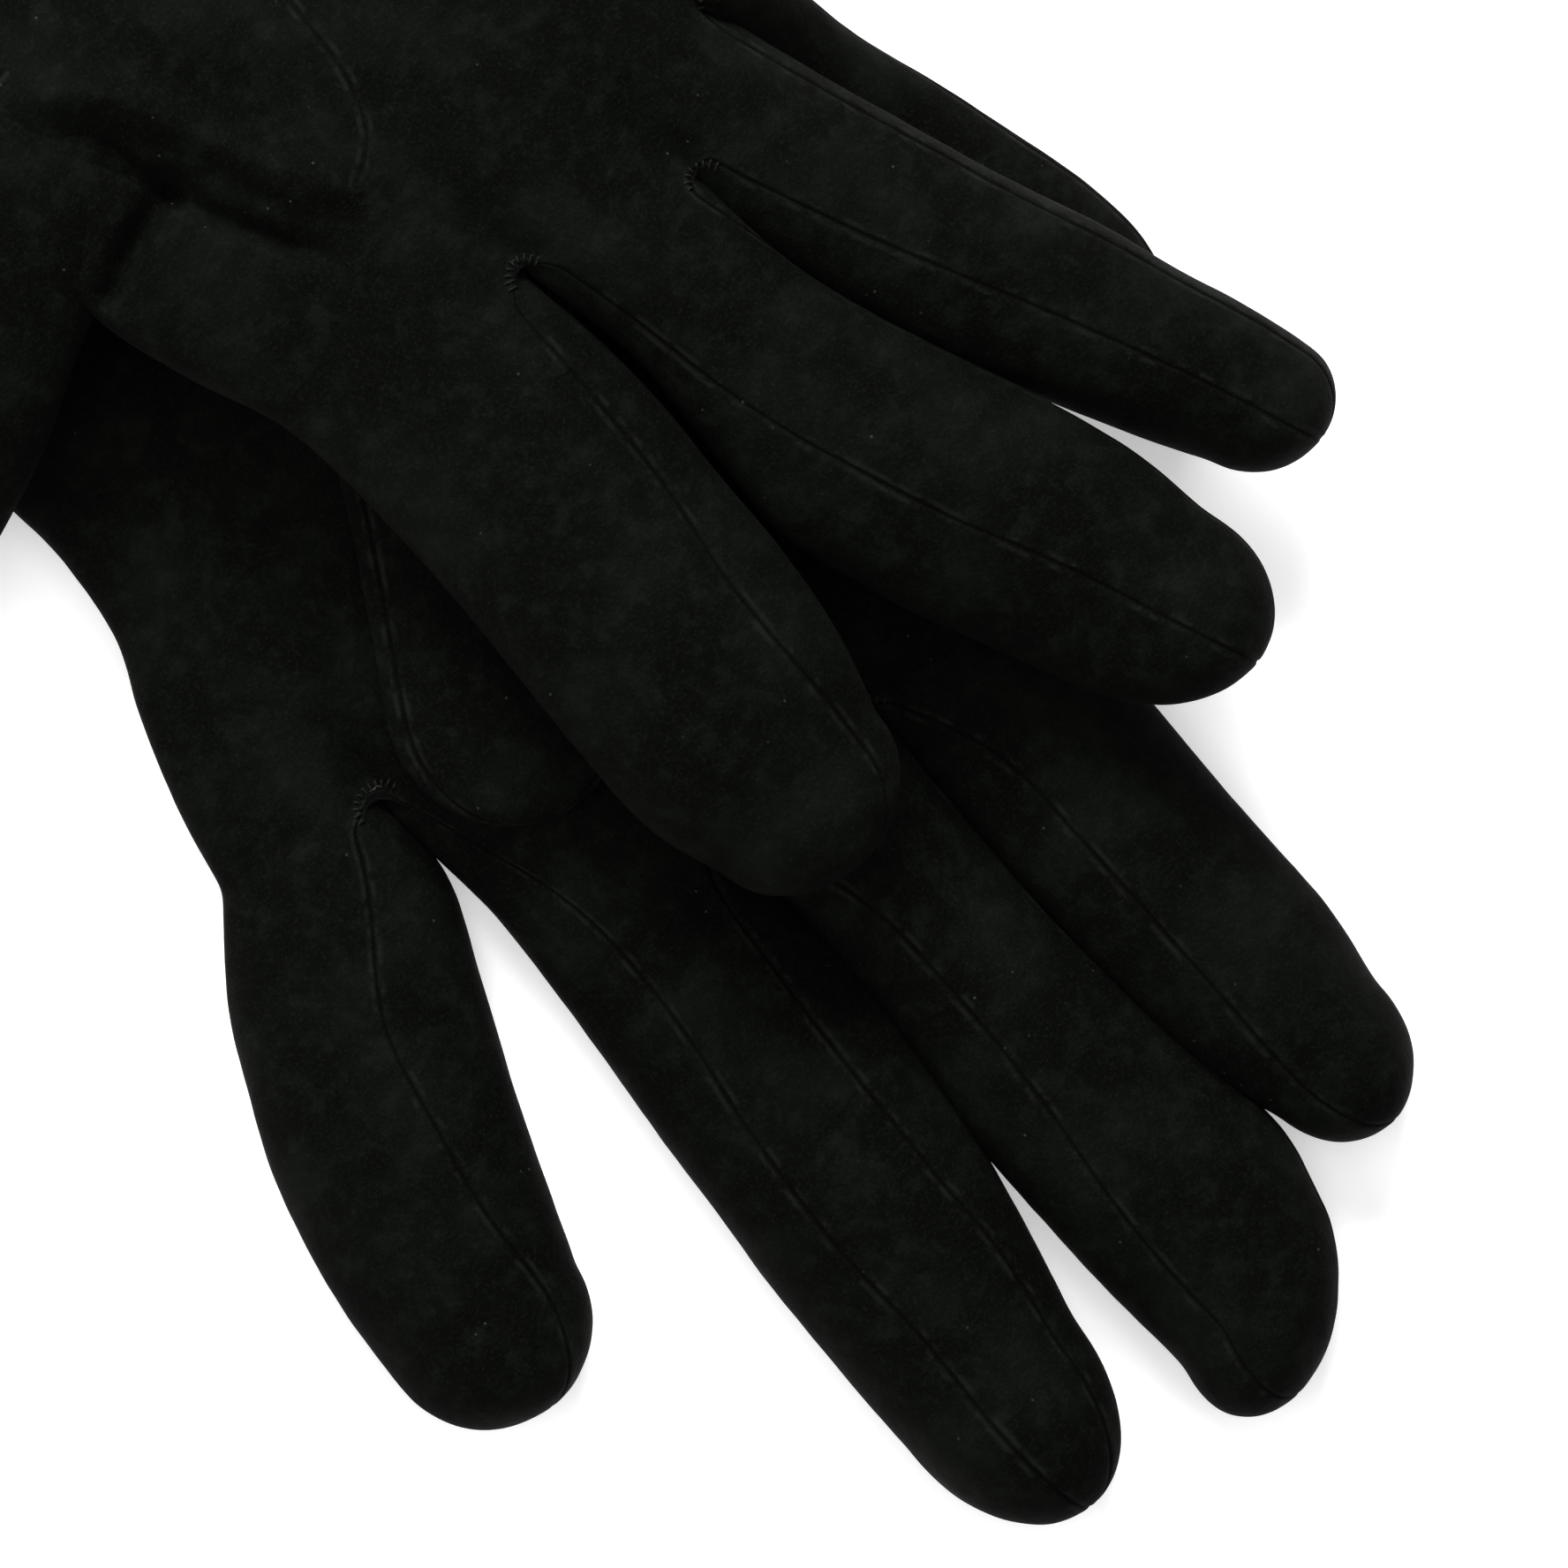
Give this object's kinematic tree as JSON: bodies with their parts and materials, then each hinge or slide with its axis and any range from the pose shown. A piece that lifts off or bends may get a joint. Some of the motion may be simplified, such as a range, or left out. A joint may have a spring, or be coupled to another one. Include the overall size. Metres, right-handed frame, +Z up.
{
  "type": "pair of leather gloves",
  "caption": "Pair of black leather dress gloves at rest, the right glove laid palm up across the palm-up left one, with bending fingers and a lift-off top glove.",
  "frame": {"origin": "middle of the underside of the pair's bounding box, on the table", "axes": "+Y from the cuffs to the fingertips, +Z up from the table, +X to the side on which the right glove has its thumb"},
  "size_m": [0.1618, 0.3101, 0.033],
  "materials": {
    "leather": "matt black suede-like lambskin with a soft nap",
    "lining": "dark grey knitted lining"
  },
  "bodies": {
    "left_hand": {"left_back_panel": "leather", "left_cuff_hem": "leather", "left_hand_lining": "lining", "left_index_middle_fourchette": "leather", "left_little_edge": "leather", "left_middle_ring_fourchette": "leather", "left_palm_panel": "leather", "left_ring_little_fourchette": "leather", "left_thumb_edge": "leather"},
    "right_hand": {"right_back_panel": "leather", "right_cuff_hem": "leather", "right_hand_lining": "lining", "right_index_middle_fourchette": "leather", "right_little_edge": "leather", "right_middle_ring_fourchette": "leather", "right_palm_panel": "leather", "right_thumb_web": "leather", "right_wrist_edge": "leather"},
    "left_index": {"left_index_front": "leather", "left_index_back": "leather", "left_index_side_strip": "leather", "left_index_lining": "lining"},
    "left_middle": {"left_middle_front": "leather", "left_middle_back": "leather", "left_middle_side_strip": "leather", "left_middle_lining": "lining"},
    "left_ring": {"left_ring_front": "leather", "left_ring_back": "leather", "left_ring_side_strip": "leather", "left_ring_lining": "lining"},
    "left_little": {"left_little_front": "leather", "left_little_back": "leather", "left_little_side_strip": "leather", "left_little_lining": "lining"},
    "left_thumb": {"left_thumb_front": "leather", "left_thumb_back": "leather", "left_thumb_side_strip": "leather", "left_thumb_lining": "lining"},
    "right_index": {"right_index_front": "leather", "right_index_back": "leather", "right_index_side_strip": "leather", "right_index_lining": "lining"},
    "right_middle": {"right_middle_front": "leather", "right_middle_back": "leather", "right_middle_side_strip": "leather", "right_middle_lining": "lining"},
    "right_ring": {"right_ring_front": "leather", "right_ring_back": "leather", "right_ring_side_strip": "leather", "right_ring_lining": "lining"},
    "right_little": {"right_little_front": "leather", "right_little_back": "leather", "right_little_side_strip": "leather", "right_little_lining": "lining"},
    "right_thumb": {"right_thumb_front": "leather", "right_thumb_back": "leather", "right_thumb_side_strip": "leather", "right_thumb_lining": "lining"}
  },
  "joints": [
    {"name": "right_glove_lift", "type": "slide", "parent": "left_hand", "child": "right_hand", "axis": [0, 0, 1], "range_m": [0, 0.15]},
    {"name": "left_index_bend", "type": "hinge", "parent": "left_hand", "child": "left_index", "pos_m": [-0.019, 0.101, 0.012], "axis": [0.9987, -0.0512, 0], "range_deg": [0, 75]},
    {"name": "left_middle_bend", "type": "hinge", "parent": "left_hand", "child": "left_middle", "pos_m": [0.0051, 0.101, 0.012], "axis": [0.9917, -0.1286, 0], "range_deg": [0, 75]},
    {"name": "left_ring_bend", "type": "hinge", "parent": "left_hand", "child": "left_ring", "pos_m": [0.0311, 0.101, 0.012], "axis": [0.9826, -0.1856, 0], "range_deg": [0, 75]},
    {"name": "left_little_bend", "type": "hinge", "parent": "left_hand", "child": "left_little", "pos_m": [0.0571, 0.0535, 0.012], "axis": [0.9333, -0.359, 0], "range_deg": [0, 75]},
    {"name": "left_thumb_swing", "type": "hinge", "parent": "left_hand", "child": "left_thumb", "pos_m": [-0.0149, -0.003, 0.0165], "axis": [0, 0, 1], "range_deg": [0, 28]},
    {"name": "right_index_bend", "type": "hinge", "parent": "right_hand", "child": "right_index", "pos_m": [-0.0011, 0.044, 0.033], "axis": [0.9929, -0.1191, 0], "range_deg": [0, 75]},
    {"name": "right_middle_bend", "type": "hinge", "parent": "right_hand", "child": "right_middle", "pos_m": [-0.0335, 0.0545, 0.033], "axis": [0.9722, 0.2343, 0], "range_deg": [0, 75]},
    {"name": "right_ring_bend", "type": "hinge", "parent": "right_hand", "child": "right_ring", "pos_m": [-0.0579, 0.047, 0.033], "axis": [0.9753, 0.2211, 0], "range_deg": [0, 75]},
    {"name": "right_little_swing", "type": "hinge", "parent": "right_hand", "child": "right_little", "pos_m": [-0.0534, 0.008, 0.0157], "axis": [0, 0, 1], "range_deg": [0, 35]},
    {"name": "right_thumb_fold", "type": "hinge", "parent": "right_hand", "child": "right_thumb", "pos_m": [0.0141, -0.039, 0.0333], "axis": [0.2312, -0.9729, 0], "range_deg": [0, 180]}
  ]
}
